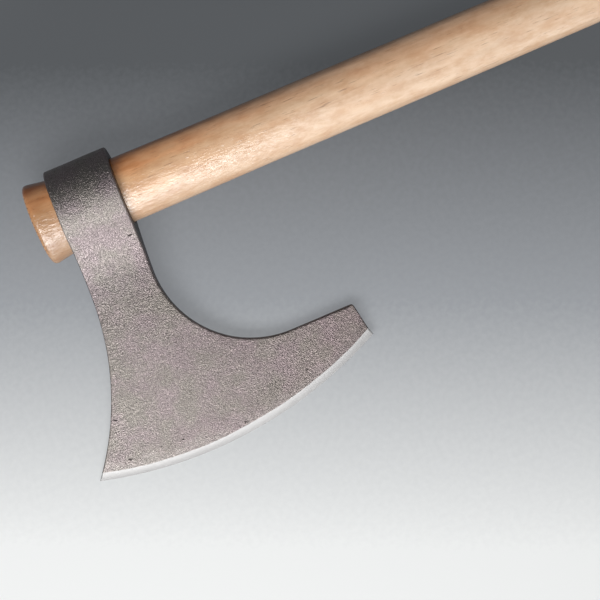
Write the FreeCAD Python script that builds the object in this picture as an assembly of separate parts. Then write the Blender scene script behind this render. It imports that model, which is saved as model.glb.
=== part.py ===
import FreeCAD, Part

import math
import os

# Bearded broad axe with a slip-fit haft, in mm.
#
# It comes apart into two pieces. The head is one steel forging with a tapered oval eye. The haft is one
# piece of hickory whose top end flares: it is fed butt first through the eye until the flare jams there.
#
# The pieces are drawn in the axe's own axes: the origin is on the haft's centreline at the middle of the
# eye, +X runs along the haft towards its flared top end, +Y towards the cutting edge, and +Z out of the
# upper cheek. They are then laid on their side, resting on the lower cheek of the eye and on the shoulder
# of the bevel.

# Eye and poll
EYE_LENGTH = 35.0  # along the haft
POLL_DEPTH = 24.8  # haft centreline to the back of the poll
CHEEK_HALF_WIDTH = 18.3  # haft centreline to the widest point of each cheek
CHEEK_CROWN_RADIUS = 30.0  # convex side of the eye, blade side of the centreline
EYE_CLEARANCE = 0.1  # between the eye's wall and the seated haft

# Neck
NECK_THICKNESS = 9.2
NECK_START = 45.0  # haft centreline to where the two cheeks become parallel
NECK_LEAN = math.radians(2.6)  # the neck leans towards the toe

# Blade, seen from the side
BEARD_ARC_START = 45.0  # distance from the haft centreline
BEARD_RADIUS = 55.3
BEARD_CORNER_X = -105.8
BEARD_END = FreeCAD.Vector(-108.5, 118.3, 0)
HEEL = FreeCAD.Vector(-109.8, 121.9, 0)
TOE_ARC_START = 47.6
TOE_SWEEP_RADIUS = 152.6
TOE_Y = 137.3
EDGE_RADIUS = 234.0

# Blade, in section
TAPER_LENGTH = 89.7  # from the neck to the shoulder of the bevel
BEVEL_WIDTH = 4.3
SHOULDER_THICKNESS = 3.4
EDGE_THICKNESS = 0.3

# Haft, an oval all along. A section is (x, half depth along Y, half thickness along Z).
HAFT_LENGTH = 762.0
HAFT_TOP_X = 31.5
FLARE_START_X = 4.0
SEAT_HALF_DEPTH = 18.3
SEAT_HALF_THICKNESS = 12.9
FLARE_SLOPE_DEPTH = math.tan(math.radians(9.5))
FLARE_SLOPE_THICKNESS = math.tan(math.radians(6.0))
WAIST_SECTION = (-75.0, 17.6, 12.7)
BUTT_HALF_DEPTH = 15.4
BUTT_HALF_THICKNESS = 11.9
TOP_CHAMFER = 1.5
BUTT_CHAMFER = 3.0

# Oversize of the tools that cut the head out of its envelope
REACH = 60.0


def neck_x(side_x, y):
    """X of a neck side that starts at side_x beside the haft and leans towards the toe."""
    return side_x + y * math.tan(NECK_LEAN)


def circle_centre(first, second, radius):
    """Centre of the circle of that radius through two points, to the left of the way between them."""
    chord = second - first
    height = math.sqrt(radius**2 - (chord.Length / 2) ** 2)
    left = FreeCAD.Vector(-chord.y, chord.x, 0).normalize()
    return (first + second) / 2 + left * height


def arc_edge(centre, start, end):
    """The shorter arc about centre from start to end."""
    middle = (start - centre) + (end - centre)
    middle = centre + middle.normalize() * (start - centre).Length
    return Part.Arc(start, middle, end).toShape()


def toe_geometry():
    """Start, centre and end of the arc that sweeps from the neck out to the toe."""
    start = FreeCAD.Vector(neck_x(EYE_LENGTH / 2, TOE_ARC_START), TOE_ARC_START, 0)
    centre = start + FreeCAD.Vector(math.cos(NECK_LEAN), -math.sin(NECK_LEAN), 0) * TOE_SWEEP_RADIUS
    reach = math.sqrt(TOE_SWEEP_RADIUS**2 - (TOE_Y - centre.y) ** 2)
    return start, centre, FreeCAD.Vector(centre.x - reach, TOE_Y, 0)


def beard_geometry():
    """Start, centre and end of the arc that hollows out the beard."""
    start = FreeCAD.Vector(neck_x(-EYE_LENGTH / 2, BEARD_ARC_START), BEARD_ARC_START, 0)
    centre = start + FreeCAD.Vector(-math.cos(NECK_LEAN), math.sin(NECK_LEAN), 0) * BEARD_RADIUS
    return start, centre, FreeCAD.Vector(centre.x, centre.y + BEARD_RADIUS, 0)


def edge_centre():
    """Centre of the arc of the cutting edge."""
    return circle_centre(toe_geometry()[2], HEEL, EDGE_RADIUS)


def head_outline():
    """The head seen from the side, as a closed wire. It runs past the poll, which the section rounds."""
    toe_start, toe_centre, toe = toe_geometry()
    beard_start, beard_centre, beard_low = beard_geometry()
    half = EYE_LENGTH / 2
    top_back = FreeCAD.Vector(half, -REACH, 0)
    top_eye = FreeCAD.Vector(half, 0, 0)
    low_eye = FreeCAD.Vector(-half, 0, 0)
    low_back = FreeCAD.Vector(-half, -REACH, 0)
    beard_corner = FreeCAD.Vector(BEARD_CORNER_X, beard_low.y, 0)
    return Part.Wire(
        [
            Part.makeLine(top_back, top_eye),
            Part.makeLine(top_eye, toe_start),
            arc_edge(toe_centre, toe_start, toe),
            arc_edge(edge_centre(), toe, HEEL),
            Part.makeLine(HEEL, BEARD_END),
            Part.makeLine(BEARD_END, beard_corner),
            Part.makeLine(beard_corner, beard_low),
            arc_edge(beard_centre, beard_low, beard_start),
            Part.makeLine(beard_start, low_eye),
            Part.makeLine(low_eye, low_back),
            Part.makeLine(low_back, top_back),
        ]
    )


def cheek_arcs(side):
    """Convex then concave arc from the cheek's crown to the neck, on the +Z or -Z side."""
    crown = CHEEK_CROWN_RADIUS
    drop = CHEEK_HALF_WIDTH - NECK_THICKNESS / 2
    hollow = (NECK_START**2 + drop**2) / (2 * drop) - crown
    crown_centre = FreeCAD.Vector(0, 0, side * (CHEEK_HALF_WIDTH - crown))
    hollow_centre = FreeCAD.Vector(0, NECK_START, side * (NECK_THICKNESS / 2 + hollow))
    top = FreeCAD.Vector(0, 0, side * CHEEK_HALF_WIDTH)
    neck = FreeCAD.Vector(0, NECK_START, side * NECK_THICKNESS / 2)
    join = crown_centre + (hollow_centre - crown_centre) * (crown / (crown + hollow))
    return arc_edge(crown_centre, top, join), arc_edge(hollow_centre, join, neck)


def head_section():
    """The head seen along the haft, as a closed wire: round poll, crowned cheeks, parallel neck."""
    poll_oval = Part.Ellipse(
        FreeCAD.Vector(0, -POLL_DEPTH, 0), FreeCAD.Vector(0, 0, CHEEK_HALF_WIDTH), FreeCAD.Vector(0, 0, 0)
    )
    upper_crown, upper_hollow = cheek_arcs(1)
    lower_crown, lower_hollow = cheek_arcs(-1)
    end_y = NECK_START + 2 * REACH
    half = NECK_THICKNESS / 2
    upper_neck = FreeCAD.Vector(0, NECK_START, half)
    upper_end = FreeCAD.Vector(0, end_y, half)
    lower_end = FreeCAD.Vector(0, end_y, -half)
    lower_neck = FreeCAD.Vector(0, NECK_START, -half)
    return Part.Wire(
        [
            Part.Arc(poll_oval, -math.pi / 2, math.pi / 2).toShape(),
            upper_crown,
            upper_hollow,
            Part.makeLine(upper_neck, upper_end),
            Part.makeLine(upper_end, lower_end),
            Part.makeLine(lower_end, lower_neck),
            lower_hollow,
            lower_crown,
        ]
    )


def blade_envelope():
    """Cone-shaped cheeks that thin towards the edge and end in the bevel, turned about the edge's centre."""
    shoulder = EDGE_RADIUS - BEVEL_WIDTH
    taper_start = shoulder - TAPER_LENGTH
    slope = (NECK_THICKNESS - SHOULDER_THICKNESS) / 2 / TAPER_LENGTH
    upper = [
        (taper_start - 1, REACH),
        (taper_start - 1, NECK_THICKNESS / 2 + slope),
        (shoulder, SHOULDER_THICKNESS / 2),
        (EDGE_RADIUS, EDGE_THICKNESS / 2),
    ]
    lower = [(radius, -z) for radius, z in reversed(upper)]
    profile = [(0, REACH)] + upper + lower + [(0, -REACH)]
    centre = edge_centre()
    points = [centre + FreeCAD.Vector(radius, 0, z) for radius, z in profile]
    face = Part.Face(Part.makePolygon(points + points[:1]))
    return face.revolve(centre, FreeCAD.Vector(0, 0, 1), 360)


def oval(x, half_depth, half_thickness):
    """Closed oval across the haft at x."""
    centre = FreeCAD.Vector(x, 0, 0)
    depth_end = FreeCAD.Vector(x, half_depth, 0)
    thickness_end = FreeCAD.Vector(x, 0, half_thickness)
    return Part.Wire([Part.Ellipse(depth_end, thickness_end, centre).toShape()])


def flare_section(x, growth=0.0):
    """Section of the flared top end at x, grown all round by a clearance."""
    run = max(0.0, x - FLARE_START_X)
    half_depth = SEAT_HALF_DEPTH + run * FLARE_SLOPE_DEPTH + growth
    half_thickness = SEAT_HALF_THICKNESS + run * FLARE_SLOPE_THICKNESS + growth
    return x, half_depth, half_thickness


def eye_bore():
    """The space inside the eye: straight at the butt side, flared like the haft at the top side."""
    ends = [-REACH, FLARE_START_X, REACH]
    sections = [flare_section(x, EYE_CLEARANCE) for x in ends]
    return Part.makeLoft([oval(*section) for section in sections], True, True)


def make_head():
    """The forged head: outline, section and blade taper together, with the eye cut through."""
    outline = Part.Face(head_outline())
    outline.translate(FreeCAD.Vector(0, 0, -REACH))
    blank = outline.extrude(FreeCAD.Vector(0, 0, 2 * REACH))
    section = Part.Face(head_section())
    section.translate(FreeCAD.Vector(-3 * REACH, 0, 0))
    bar = section.extrude(FreeCAD.Vector(6 * REACH, 0, 0))
    forging = blank.common(bar).common(blade_envelope())
    return forging.cut(eye_bore()).removeSplitter()


def make_haft():
    """The hickory haft: flared top end, slow taper to the butt, both ends chamfered."""
    butt_x = HAFT_TOP_X - HAFT_LENGTH
    top_x, top_depth, top_thickness = flare_section(HAFT_TOP_X)
    sections = [
        (butt_x, BUTT_HALF_DEPTH - BUTT_CHAMFER, BUTT_HALF_THICKNESS - BUTT_CHAMFER),
        (butt_x + BUTT_CHAMFER, BUTT_HALF_DEPTH, BUTT_HALF_THICKNESS),
        WAIST_SECTION,
        flare_section(FLARE_START_X),
        flare_section(HAFT_TOP_X - TOP_CHAMFER),
        (top_x, top_depth - TOP_CHAMFER, top_thickness - TOP_CHAMFER),
    ]
    return Part.makeLoft([oval(*section) for section in sections], True, True)


def lower_shoulder():
    """The point of the blade that the axe lies on: the bevel's lower shoulder, where the edge bulges most."""
    return FreeCAD.Vector(0, edge_centre().y + EDGE_RADIUS - BEVEL_WIDTH, -SHOULDER_THICKNESS / 2)


def resting_roll():
    """Angle that the axe rolls about the haft to lie on the crown of one cheek and on that shoulder."""
    crown = FreeCAD.Vector(0, 0, CHEEK_CROWN_RADIUS - CHEEK_HALF_WIDTH)
    reach = lower_shoulder() - crown
    return math.asin(CHEEK_CROWN_RADIUS / reach.Length) + math.atan2(reach.z, reach.y)


def lay_down(solid):
    """Turns and moves a piece from the axe's own axes to where it lies, bounding box centred on the origin."""
    roll = resting_roll()
    edge_y = edge_centre().y + EDGE_RADIUS
    far_y = edge_y * math.cos(roll) + EDGE_THICKNESS / 2 * math.sin(roll)
    near_y = -math.hypot(POLL_DEPTH * math.cos(roll), CHEEK_HALF_WIDTH * math.sin(roll))
    middle_x = (toe_geometry()[2].x + HAFT_TOP_X - HAFT_LENGTH) / 2
    height = lower_shoulder().y * math.sin(roll) - lower_shoulder().z * math.cos(roll)
    laid = solid.copy()
    laid.rotate(FreeCAD.Vector(0, 0, 0), FreeCAD.Vector(1, 0, 0), -math.degrees(roll))
    laid.translate(FreeCAD.Vector(-middle_x, -(far_y + near_y) / 2, height))
    return laid


def main():
    pieces = {"axe_head": make_head(), "haft": make_haft()}
    os.makedirs("parts", exist_ok=True)
    for name, solid in pieces.items():
        laid = lay_down(solid)
        laid.exportStep(f"parts/{name}.step")
        print(name, "valid", laid.isValid(), "solids", len(laid.Solids), "volume", round(laid.Volume))
        print(laid.BoundBox)


main()
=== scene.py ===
import math

import bmesh
import bpy
import numpy as np
from mathutils import Matrix, Vector, kdtree, noise
from mathutils.geometry import delaunay_2d_cdt


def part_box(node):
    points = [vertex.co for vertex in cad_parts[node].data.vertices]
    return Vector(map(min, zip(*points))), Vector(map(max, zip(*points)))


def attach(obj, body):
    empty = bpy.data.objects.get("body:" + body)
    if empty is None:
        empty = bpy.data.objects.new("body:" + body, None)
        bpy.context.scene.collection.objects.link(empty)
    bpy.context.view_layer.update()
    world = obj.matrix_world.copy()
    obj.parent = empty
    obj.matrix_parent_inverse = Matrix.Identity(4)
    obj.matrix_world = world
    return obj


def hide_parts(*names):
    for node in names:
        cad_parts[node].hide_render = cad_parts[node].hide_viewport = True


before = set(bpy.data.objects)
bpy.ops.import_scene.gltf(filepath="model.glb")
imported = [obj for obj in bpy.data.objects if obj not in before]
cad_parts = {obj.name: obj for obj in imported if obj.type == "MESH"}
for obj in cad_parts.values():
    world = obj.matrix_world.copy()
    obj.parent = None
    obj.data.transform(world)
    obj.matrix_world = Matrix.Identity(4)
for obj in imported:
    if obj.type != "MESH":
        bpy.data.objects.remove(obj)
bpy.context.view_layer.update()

# Eye, poll and neck
EYE_LENGTH = 0.035
POLL_DEPTH = 0.0248
CHEEK_HALF_WIDTH = 0.0183
CROWN_RADIUS = 0.030
NECK_HALF_THICKNESS = 0.0046
NECK_START = 0.045
NECK_LEAN = math.radians(2.6)
EYE_CLEARANCE = 0.0001
EYE_MOUTH_RADIUS = 0.0005

# Blade outline
BEARD_ARC_START = 0.045
BEARD_RADIUS = 0.0553
BEARD_CORNER_X = -0.1058
BEARD_END = (-0.1085, 0.1183)
HEEL = (-0.1098, 0.1219)
BEARD_CORNER_RADIUS = 0.0016
BEARD_END_RADIUS = 0.0020
TOE_ARC_START = 0.0476
TOE_SWEEP_RADIUS = 0.1526
TOE_Y = 0.1373
EDGE_RADIUS = 0.234

# Blade section
TAPER_LENGTH = 0.0897
TAPER_BLEND = 0.012
BEVEL_WIDTH = 0.0043
SHOULDER_HALF_THICKNESS = 0.0017
EDGE_HALF_THICKNESS = 0.00015
BEVEL_BELLY = 0.00018
SHOULDER_WOBBLE = 0.00012

# Ripples of the bevel's shoulder, in units of its wobble: turn per metre, turn at the middle, height
SHOULDER_MEAN = 1.7
SHOULDER_RIPPLES = ((61, 0.7, 1.0), (143, 2.1, 0.6), (390, 0.0, 0.3))

# Softened corners of the forging
BUTT_ARRIS_RADIUS = 0.0012
TOE_ARRIS_RADIUS = 0.0007
BEARD_END_ARRIS_RADIUS = 0.0005
ARRIS_SHARE = 0.75
SMALLEST_ARRIS = 0.00025
ARRIS_TURNS = tuple(math.radians(turn) for turn in (22.5, 45.0, 67.5, 90.0))

# Haft
HAFT_TOP_X = 0.0315
HAFT_LENGTH = 0.762
BUTT_X = HAFT_TOP_X - HAFT_LENGTH
FLARE_START_X = 0.004
SEAT_HALF_DEPTH = 0.0183
SEAT_HALF_THICKNESS = 0.0129
FLARE_SLOPE_DEPTH = math.tan(math.radians(9.5))
FLARE_SLOPE_THICKNESS = math.tan(math.radians(6.0))
WAIST_X = -0.075
WAIST_HALF_DEPTH = 0.0176
WAIST_HALF_THICKNESS = 0.0127
BUTT_HALF_DEPTH = 0.0154
BUTT_HALF_THICKNESS = 0.0119
TOP_ROUND = 0.0030
BUTT_ROUND = 0.0030

# Surface grain of the forging
GRAIN_SIZE = 0.0016
GRAIN_CONTRAST = 1.6
GRAIN_HEIGHT = 0.00007
GRAIN_BUMP = 0.00036
SWELL_SIZE = 0.012
SWELL_HEIGHT = 0.00008
SHARP_ANGLE = math.radians(50)

# Where the grain fades out: behind the bevel, and around the bore in shares of the bore's size
SMOOTH_BAND = 0.0035
SMOOTH_START = 0.15
BORE_MARGIN = 1.06
BORE_FADE = 0.05

# Material slots of the head: the blasted skin, the ground bevel, and the side walls and bore, whose steel is
# darkened as painted shade
SKIN_SLOT = 0
GROUND_SLOT = 1
SHADED_WALL_SLOT = 2

# Deeper pits of the upper face: x, y, half length, half width, turn from the haft's axis
PITS = (
    (-0.0123, 0.0243, 0.0013, 0.00040, 0.0),
    (0.0338, 0.1106, 0.0019, 0.00035, math.radians(-23)),
    (0.0345, 0.1328, 0.0016, 0.00040, math.radians(-12)),
    (0.0044, 0.1339, 0.0008, 0.00045, math.radians(-3)),
    (-0.0295, 0.1383, 0.0011, 0.00045, math.radians(6)),
    (-0.0700, 0.1255, 0.0009, 0.00040, math.radians(15)),
)
PIT_HEIGHT = 0.008
PIT_REACH = 0.010
PIT_RIM = (1.05, 0.75)

# Surface of the haft
SHAVING_LENGTH = 0.060
SHAVINGS_ROUND = 1.7
SHAVING_DEPTH = 0.00018
FIBRE_LENGTH = 0.035
FIBRES_ROUND = 9.0
FIBRE_DEPTH = 0.00006
LACQUER_RIPPLE = 0.00042
PITH = (0.0, -0.055, 0.020)
RING_SPACING = 0.0026
END_SLOT = 1
END_FACING = 0.75

# Noises of the materials: size in metres, detail, roughness, and stretch along each axis
STEEL_CLOUDS = (0.014, 3.0, 0.6)
STEEL_LUMPS = (0.0005, 2.0, 0.6)
STEEL_WRINKLES = (0.0010, 1.0)
BRUSHED_RAGS = (0.006, 3.0, 0.6)
GRINDING_LINES = (0.0004, 2.0, 0.6, (1, 12, 1))
WOOD_CLOUDS = (0.012, 3.0, 0.6, (4, 1, 1))
WOOD_BANDS = (0.0040, 3.0, 0.55, (16, 1, 1))
WOOD_MOTTLE = (0.0050, 4.0, 0.65, (2.2, 1, 1))
WOOD_PORES = (0.00045, 2.0, 0.5, (22, 1, 1))
LACQUER_FLECKS = (0.0011, 3.0, 0.6, (5, 1, 1))
END_WAVES = (0.008,)
END_PORES = (0.0004, 1.0)
FLOOR_SPECKLES = (0.003,)
NOISE_RANGE = (0.3, 0.7)

# Steel. The brushed band's pair is how far behind the shoulder it starts and is full.
LUMP_SHARE = 0.8
WRINKLE_WIDTH = 0.10
WRINKLE_SHARE = 0.2
# painted shade in the grain's hollows
HOLLOW_SHADE = 0.58
BRUSHED_BAND = (0.0045, 0.0020)
BRUSHED_WANDER = 0.004
BRUSHED_SHARE = 0.6
BRUSHED_CALM = 0.7
BEARD_CALM = 0.6
BLADE_DARKENING_RUN = 0.012
STEEL_ROUGHNESS = (0.46, 0.36)
GROUND_ROUGHNESS = (0.50, 0.60)
GRINDING_BUMP = 0.00001

# Wood and its lacquer. Bleaching and the stub's darkening have the x where each starts and is full.
HEARTWOOD_AND_SHADE_REACH = 0.016
HEARTWOOD_AND_SHADE_WANDER = 0.005
BLEACHING = (-0.025, -0.120)
BLEACHED_SHARE = 0.5
STUB_DARKENING_SPAN = (0.010, 0.024)
PORE_RANGE = (0.66, 0.74)
PORE_SHARE = 0.6
PORE_DEPTH = 0.4
WOOD_ROUGHNESS = (0.42, 0.55)
WOOD_SPECULAR = 0.3
WOOD_BUMP = 0.00015
COAT_IOR = 1.85
COAT_WEIGHT = (0.75, 1.0)
COAT_ROUGHNESS = (0.06, 0.18)
END_WANDER = 0.0006
END_PORE_RANGE = (0.62, 0.70)
END_PORE_SHARE = 0.7
END_ROUGHNESS = (0.55, 0.75)
END_BUMP = 0.00008
LATE_WOOD_HEIGHT = 0.3

# Colours
WHITE = (1.0, 1.0, 1.0)
STEEL_OLIVE = (0.325, 0.298, 0.273)
STEEL_PINK = (0.347, 0.295, 0.296)
STEEL_BRUSHED = (0.285, 0.262, 0.250)
# painted shade: the steel darkens towards the beard, as the light falls off there
BEARD_SHADE_TINT = (0.73, 0.68, 0.70)
# the blade is a little darker than the eye, over a short run past the neck
BLADE_TINT = (0.90, 0.895, 0.885)
# painted shade: the side walls and bore are darkened where they turn away from the light
WALL_SHADE_TINT = (0.26, 0.26, 0.27)
PIT_COLOUR = (0.060, 0.050, 0.048)
# painted light on the bevel: darker at the toe, lighter at the beard
GROUND_TOE_SHADED = (0.325, 0.320, 0.317)
GROUND_BEARD_LIT = (0.445, 0.440, 0.438)
GRINDING_TINT = (0.90, 0.90, 0.90)
# painted shade: the haft's upper edge, darker where the light doesn't reach
HEARTWOOD_EDGE_SHADE = (0.480, 0.170, 0.040)
HEARTWOOD = (0.800, 0.400, 0.185)
MIDWOOD = (0.710, 0.415, 0.217)
SAPWOOD = (0.550, 0.365, 0.230)
BLEACHED_WOOD = (0.850, 0.645, 0.465)
# the haft is darker and greyer on its end beyond the eye
STUB_TINT = (0.700, 0.650, 0.590)
BAND_TINT = (0.930, 0.890, 0.850)
MOTTLE_TINT = (0.860, 0.780, 0.720)
WOOD_PORE = (0.180, 0.080, 0.035)
END_PALE = (0.480, 0.250, 0.120)
END_DARK = (0.270, 0.120, 0.050)
# Floor tones, far to near: painted light that falls off away from the bottom of the view, then plain grey
# around it
FLOOR_FAR = (0.108, 0.115, 0.123)
FLOOR_MIDDLE = (0.335, 0.350, 0.372)
FLOOR_NEAR = (0.800, 0.810, 0.805)
FLOOR_AROUND = (0.430, 0.442, 0.455)
FLOOR_GLOW = 0.60
FLOOR_REFLECTANCE = 0.36
FLOOR_ROUGHNESS = 0.9
FLOOR_SPECULAR = 0.1
SPECKLE_DEPTH = 0.004

# View and light. The camera looks square onto the blade, and the haft rises to the right.
HAFT_ANGLE = math.radians(23.0)
VIEW_CENTRE = (-0.0810, 0.0903, 0.0)
VIEW_WIDTH = 0.318
CAMERA_DISTANCE = 0.67
FLOOR_RADIUS = 6.0
FLOOR_FADE = 0.13
FLOOR_EVEN_OUT = {"From Min": 0.21, "From Max": 0.60}
LIGHT_COLOUR = WHITE
WORLD_COLOUR = (0.85, 0.92, 1.0)
WORLD_STRENGTH = 0.08

# Lamps: width, height, how far each leans below and to the left of the view's axis, distance, radiance
KEY_SOFTBOX = (0.86, 0.40, math.radians(34), math.radians(12), 0.85, 8.9)
FRONT_FILL = (0.9, 0.9, math.radians(5), 0.0, 1.3, 0.34)
BUTT_FILL = (0.8, 1.0, math.radians(20), 0.0, 1.3, 0.8)
BUTT_FILL_SHIFT = (-0.72, 0.0, 0.0)
FLOOR_WASH = (3.5, 0.55, math.radians(70), math.radians(-25), 2.00, 3.0)
RIM_LIGHT = (3.0, 0.60, math.radians(-72), math.radians(10), 2.20, 0.15)

# Mesh sizes
OUTLINE_STEP = 0.0006
SKIN_STEP = 0.00066
WALL_STEP = 0.0009
BORE_SEGMENTS = 160
HAFT_SEGMENTS = 160
HAFT_STEP = 0.0025
RIM_STATIONS = 7
FLOOR_SEGMENTS = 96
POLL_SAMPLES = 400
CHEEK_SAMPLES = 200
BEVEL_ROWS = (0.05, 0.2, 0.4, 0.6, 0.8)
BEHIND_SHOULDER = 0.0002
FIELD_GAP = 0.0006
BORE_RINGS = (0.012, 0.008, FLARE_START_X, -0.003, -0.010)
END_CAP_SHARES = (0.93, 0.84, 0.73, 0.61, 0.48, 0.35, 0.22, 0.10)
WELD = 2e-6

# Triangulation: its scale, its tolerance, and its code for triangles inside the border only
CDT_SCALE = 1000.0
CDT_TOLERANCE = 1e-6
CDT_INSIDE = 1

# The Mix node's sockets for colours: factor, first and second, and the result
MIX_INPUTS = (0, 6, 7)
MIX_RESULT = 2

# A scale so large that a distance no longer depends on its axis
FAR_AWAY = 1e6


# -------- outline of the head, seen from the side


def circle_centre(first, second, radius):
    """Centre of the circle of that radius through two points, to the left of the way between them."""
    chord = np.subtract(second, first)
    length = np.hypot(*chord)
    left = np.array([-chord[1], chord[0]]) / length
    return np.add(first, second) / 2 + left * math.sqrt(radius**2 - length**2 / 4)


def toe_sweep():
    """Start, centre and end of the arc that sweeps from the neck out to the toe."""
    start = np.array([EYE_LENGTH / 2 + TOE_ARC_START * math.tan(NECK_LEAN), TOE_ARC_START])
    centre = start + TOE_SWEEP_RADIUS * np.array([math.cos(NECK_LEAN), -math.sin(NECK_LEAN)])
    reach = math.sqrt(TOE_SWEEP_RADIUS**2 - (TOE_Y - centre[1]) ** 2)
    return start, centre, np.array([centre[0] - reach, TOE_Y])


def beard_hollow():
    """Start, centre and end of the arc that hollows out the beard."""
    start = np.array([-EYE_LENGTH / 2 + BEARD_ARC_START * math.tan(NECK_LEAN), BEARD_ARC_START])
    centre = start + BEARD_RADIUS * np.array([-math.cos(NECK_LEAN), math.sin(NECK_LEAN)])
    return start, centre, centre + np.array([0, BEARD_RADIUS])


def edge_centre():
    """Centre of the arc of the cutting edge."""
    return circle_centre(toe_sweep()[2], HEEL, EDGE_RADIUS)


def line(start, end):
    """Points along a straight run, without its last point."""
    count = max(1, round(math.dist(start, end) / OUTLINE_STEP))
    share = np.arange(count)[:, None] / count
    return np.asarray(start) * (1 - share) + np.asarray(end) * share


def arc(centre, start, end):
    """Points along the shorter arc about centre, without its last point."""
    radius = math.dist(centre, start)
    first = math.atan2(start[1] - centre[1], start[0] - centre[0])
    last = math.atan2(end[1] - centre[1], end[0] - centre[0])
    turn = (last - first + math.pi) % (2 * math.pi) - math.pi
    count = max(2, round(abs(turn) * radius / OUTLINE_STEP))
    angles = first + turn * np.arange(count) / count
    return np.asarray(centre) + radius * np.column_stack([np.cos(angles), np.sin(angles)])


def full_turn(count):
    """Equally spaced angles once round."""
    return np.arange(count) * 2 * math.pi / count


def rounded_corner(before, corner, after, radius):
    """Start, centre and end of the arc that rounds a corner."""
    back = np.subtract(before, corner) / math.dist(before, corner)
    ahead = np.subtract(after, corner) / math.dist(after, corner)
    half_angle = math.acos(float(back @ ahead)) / 2
    bisector = (back + ahead) / np.linalg.norm(back + ahead)
    setback = radius / math.tan(half_angle)
    centre = np.asarray(corner) + bisector * radius / math.sin(half_angle)
    return np.asarray(corner) + back * setback, centre, np.asarray(corner) + ahead * setback


def toe_side():
    """The toe side in plan, from beside the haft to the toe."""
    eye = (EYE_LENGTH / 2, 0.0)
    start, centre, toe = toe_sweep()
    return np.vstack([line(eye, start), arc(centre, start, toe), toe])


def butt_side():
    """The side that faces the butt in plan: neck, beard and its two corners, to the heel."""
    eye = (-EYE_LENGTH / 2, 0.0)
    start, centre, low = beard_hollow()
    corner = (BEARD_CORNER_X, low[1])
    first, first_centre, second = rounded_corner(low, corner, BEARD_END, BEARD_CORNER_RADIUS)
    third, end_centre, fourth = rounded_corner(second, BEARD_END, HEEL, BEARD_END_RADIUS)
    hollow = [line(eye, start), arc(centre, start, low)]
    beard = [line(low, first), arc(first_centre, first, second), line(second, third)]
    return np.vstack(hollow + beard + [arc(end_centre, third, fourth), line(fourth, HEEL), HEEL])


def placement():
    """Where the frame has the axe: its origin, and its roll about the haft.

    The lower shoulder of the bevel touches the floor, so the haft's height above the floor gives the roll.
    """
    low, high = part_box("haft")
    origin = Vector((high.x - HAFT_TOP_X, (low.y + high.y) / 2, (low.z + high.z) / 2))
    shoulder_y = edge_centre()[1] + EDGE_RADIUS - BEVEL_WIDTH
    reach = math.hypot(shoulder_y, SHOULDER_HALF_THICKNESS)
    return origin, math.asin(origin.z / reach) - math.atan2(SHOULDER_HALF_THICKNESS, shoulder_y)


ORIGIN, ROLL = placement()
AXE = Matrix.Translation(ORIGIN) @ Matrix.Rotation(-ROLL, 4, "X")


# -------- section of the head, seen along the haft


def cheek_profile():
    """Upper half of the section from the back of the poll to the neck: run, y, z and outward normal."""
    turn = np.linspace(0, math.pi / 2, POLL_SAMPLES)
    poll = np.column_stack([-POLL_DEPTH * np.cos(turn), CHEEK_HALF_WIDTH * np.sin(turn)])
    drop = CHEEK_HALF_WIDTH - NECK_HALF_THICKNESS
    hollow_radius = (NECK_START**2 + drop**2) / (2 * drop) - CROWN_RADIUS
    crown_centre = np.array([0, CHEEK_HALF_WIDTH - CROWN_RADIUS])
    hollow_centre = np.array([NECK_START, NECK_HALF_THICKNESS + hollow_radius])
    lean = math.atan2(*(hollow_centre - crown_centre))
    turn = np.linspace(0, lean, CHEEK_SAMPLES)[:, None]
    crown = crown_centre + CROWN_RADIUS * np.hstack([np.sin(turn), np.cos(turn)])
    hollow = hollow_centre - hollow_radius * np.hstack([np.sin(turn), np.cos(turn)])
    points = np.vstack([poll, crown[1:], hollow[::-1][1:]])
    steps = np.diff(points, axis=0)
    run = np.concatenate([[0], np.cumsum(np.hypot(*steps.T))])
    tangent = np.gradient(points, run, axis=0)
    tangent /= np.linalg.norm(tangent, axis=1)[:, None]
    return run, points[:, 0], points[:, 1], -tangent[:, 1], tangent[:, 0]


RUN, RUN_Y, RUN_Z, RUN_NORMAL_Y, RUN_NORMAL_Z = cheek_profile()
CHEEK_RUN = float(RUN[-1])
POLL_RUN = float(np.interp(0, RUN_Y, RUN))


def run_at(y):
    """Length of skin from the back of the poll to y."""
    return np.where(y > NECK_START, CHEEK_RUN + y - NECK_START, np.interp(y, RUN_Y, RUN))


def edge_polar(x, y):
    """Distance from the edge's centre, and length along the edge's arc."""
    centre = edge_centre()
    radius = np.hypot(x - centre[0], y - centre[1])
    return radius, EDGE_RADIUS * np.arctan2(x - centre[0], y - centre[1])


def shoulder_radius(along):
    """Radius of the bevel's shoulder, which wanders a little as a hand-held grind does."""
    ripples = (height * np.sin(along * pace + start) for pace, start, height in SHOULDER_RIPPLES)
    return EDGE_RADIUS - BEVEL_WIDTH + SHOULDER_WOBBLE * sum(ripples, SHOULDER_MEAN)


def blade_half_thickness(x, y):
    """Half thickness of the blade: a long taper, then a bevel with a little belly."""
    radius, along = edge_polar(x, y)
    shoulder = shoulder_radius(along)
    slope = (NECK_HALF_THICKNESS - SHOULDER_HALF_THICKNESS) / TAPER_LENGTH
    past = radius - (EDGE_RADIUS - BEVEL_WIDTH - TAPER_LENGTH)
    blended = (past + TAPER_BLEND) ** 2 / (4 * TAPER_BLEND)
    past = np.where(np.abs(past) < TAPER_BLEND, blended, np.maximum(past, 0))
    taper = NECK_HALF_THICKNESS - slope * past
    share = np.clip((radius - shoulder) / (EDGE_RADIUS - shoulder), 0, 1)
    bevel = SHOULDER_HALF_THICKNESS * (1 - share) + EDGE_HALF_THICKNESS * share
    bevel += BEVEL_BELLY * 4 * share * (1 - share)
    return np.where(radius < shoulder, taper, np.minimum(taper, bevel))


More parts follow.
